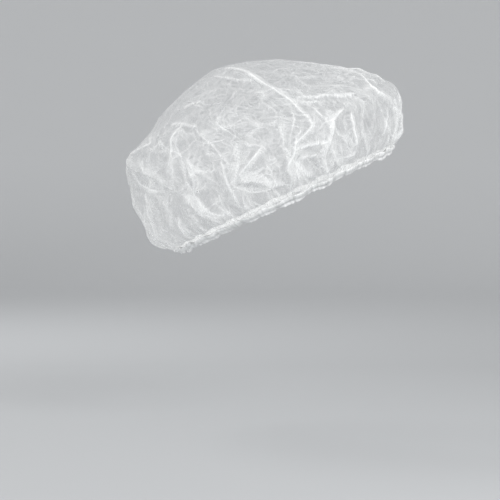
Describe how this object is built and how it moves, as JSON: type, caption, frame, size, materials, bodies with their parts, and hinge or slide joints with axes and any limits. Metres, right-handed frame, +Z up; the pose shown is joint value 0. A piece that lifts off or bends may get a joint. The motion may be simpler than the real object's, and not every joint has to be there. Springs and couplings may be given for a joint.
{
  "type": "disposable hair cover cap",
  "caption": "Round bouffant hair cover of thin translucent non-woven cloth, puffed over the head and gathered into a narrow elastic hem.",
  "frame": {"origin": "centre of the head opening, on the plane of the gathered edge, where the cap sits on the head", "axes": "+Z up as worn, +X forwards over the wearer's forehead, -Y towards the wearer's right side; the rim plane climbs 25.5 degrees from nape to forehead"},
  "size_m": [0.244, 0.2154, 0.1717],
  "materials": {
    "nonwoven": "translucent spunbond non-woven, matt",
    "hem_nonwoven": "several layers of spunbond non-woven, matt",
    "elastic_yarn": "flat white elastic, matt"
  },
  "bodies": {
    "root": {"crown": "nonwoven", "hem": "hem_nonwoven", "elastic": "elastic_yarn"}
  },
  "joints": []
}
